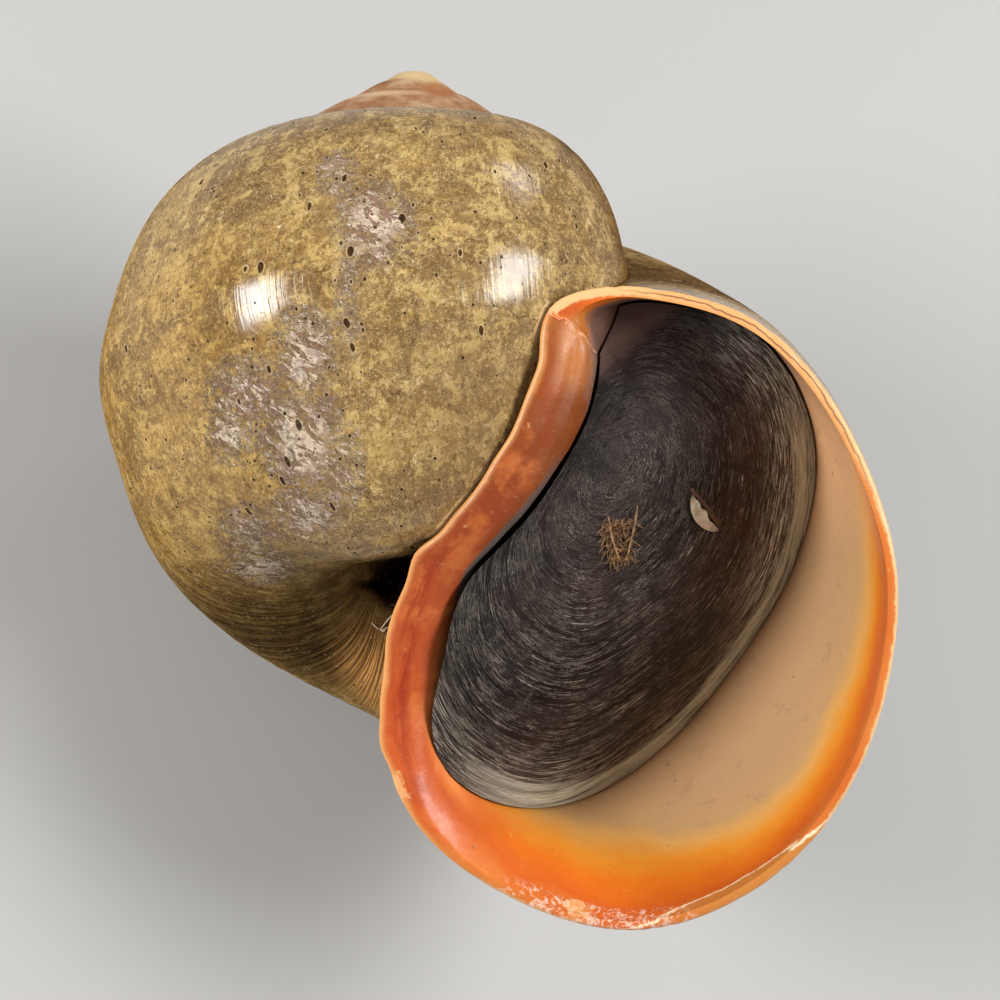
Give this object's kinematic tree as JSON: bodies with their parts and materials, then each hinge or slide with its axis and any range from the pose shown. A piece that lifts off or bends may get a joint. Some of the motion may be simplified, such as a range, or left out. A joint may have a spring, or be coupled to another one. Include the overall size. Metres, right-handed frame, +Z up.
{
  "type": "apple snail shell",
  "caption": "Globose coiled snail shell lying on its back, its wide flared mouth closed by a recessed horny operculum.",
  "frame": {"origin": "middle of the object's bounding box in plan, at the height of the worn flat it lies on", "axes": "+Z up from the ground; the mouth faces up and slightly toward -Y and -X; the spire points toward +Y and a little up"},
  "size_m": [0.095, 0.113, 0.0828],
  "materials": {
    "shell": "olive-brown skin over a limy wall, satin, worn to pinkish grey in patches; orange lip",
    "operculum": "near-black horn with fine pale growth lines"
  },
  "bodies": {
    "root": {"shell": "shell", "operculum": "operculum"}
  },
  "joints": []
}
